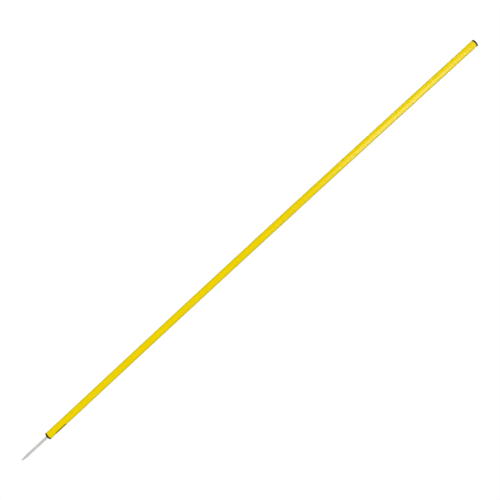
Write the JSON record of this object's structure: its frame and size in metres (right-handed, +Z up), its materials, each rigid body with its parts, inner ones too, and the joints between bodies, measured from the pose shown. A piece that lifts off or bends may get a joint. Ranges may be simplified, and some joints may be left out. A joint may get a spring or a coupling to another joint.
{
  "type": "ground-spiked marker pole",
  "caption": "Slim round plastic marker pole with a push-in cap at the top and a pointed steel spike in a ribbed plug at the foot, pushed into turf to mark a line or turn.",
  "frame": {"origin": "on the pole's axis at the underside of the base plug's flange, which is ground level once the spike is pushed in", "axes": "+Z up along the pole towards the top cap; the pole is round, so X and Y are free, and the two air slots hidden inside the tube lie on X"},
  "size_m": [0.0206, 0.0206, 1.6019],
  "materials": {
    "yellow_pvc": "extruded rigid plastic, glossy with fine lines along its length",
    "black_plastic": "moulded, satin",
    "zinc_steel": "zinc plated, dull, ground at the point"
  },
  "bodies": {
    "root": {"pole_tube": "yellow_pvc", "top_cap": "black_plastic", "base_plug": "black_plastic", "ground_spike": "zinc_steel"}
  },
  "joints": []
}
